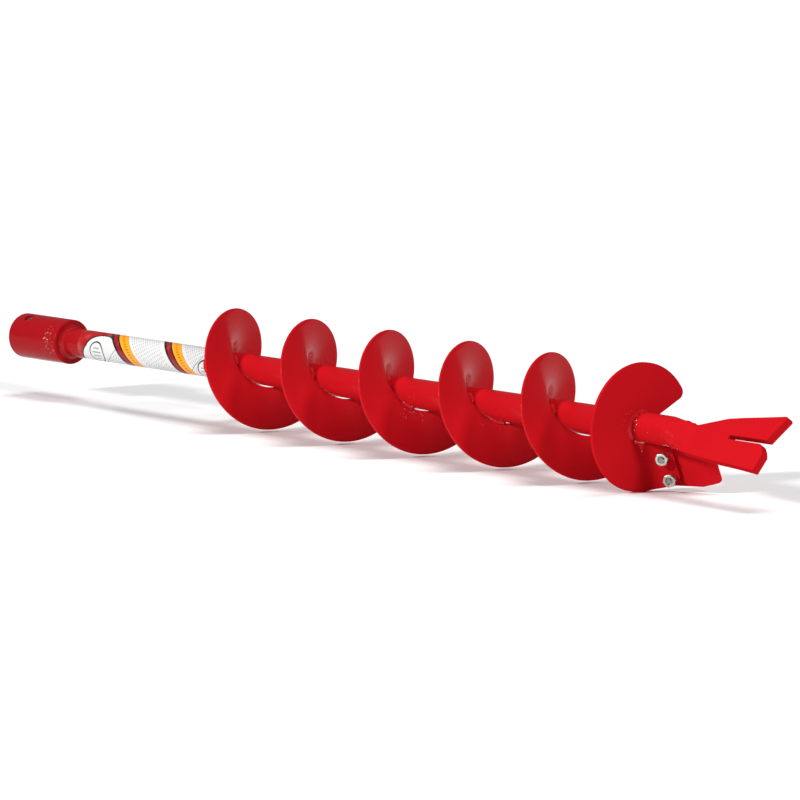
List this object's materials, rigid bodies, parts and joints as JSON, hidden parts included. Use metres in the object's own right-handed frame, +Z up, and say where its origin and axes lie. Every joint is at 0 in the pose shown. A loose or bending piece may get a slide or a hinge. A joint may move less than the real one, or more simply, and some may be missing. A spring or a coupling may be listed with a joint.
{
  "type": "earth auger bit",
  "caption": "Drill bit for a powered hole digger: drive socket, tube with right-hand helical flights, cutting disc with bolted blade, and forked fishtail point.",
  "frame": {"origin": "centre of the drive socket's mouth, on the auger's axis", "axes": "+X along the axis from the socket to the point, +Z up as the auger lies on a floor"},
  "size_m": [0.9968, 0.1037, 0.1058],
  "materials": {
    "red_paint": "gloss red powder coat",
    "zinc_steel": "bright zinc plate",
    "printed_label": "printed vinyl"
  },
  "bodies": {
    "auger": {"drive_socket": "red_paint", "stem_tube": "red_paint", "stem_label": "printed_label", "socket_weld": "red_paint", "flight_1": "red_paint", "flight_2": "red_paint", "flight_3": "red_paint", "flight_4": "red_paint", "flight_5": "red_paint", "flight_6": "red_paint", "flight_butt_welds": "red_paint", "flight_stitch_welds": "red_paint", "cutting_head": "red_paint", "head_weld": "red_paint", "cutting_blade": "red_paint", "blade_bolts": "zinc_steel", "blade_washers": "zinc_steel", "blade_nuts": "zinc_steel", "fishtail_point": "red_paint"},
    "set_screw": {"set_screw": "zinc_steel"}
  },
  "joints": [
    {"name": "set_screw_travel", "type": "slide", "parent": "auger", "child": "set_screw", "axis": [0, -0.4226, 0.9063], "range_m": [-0.0014, 0.006]}
  ]
}
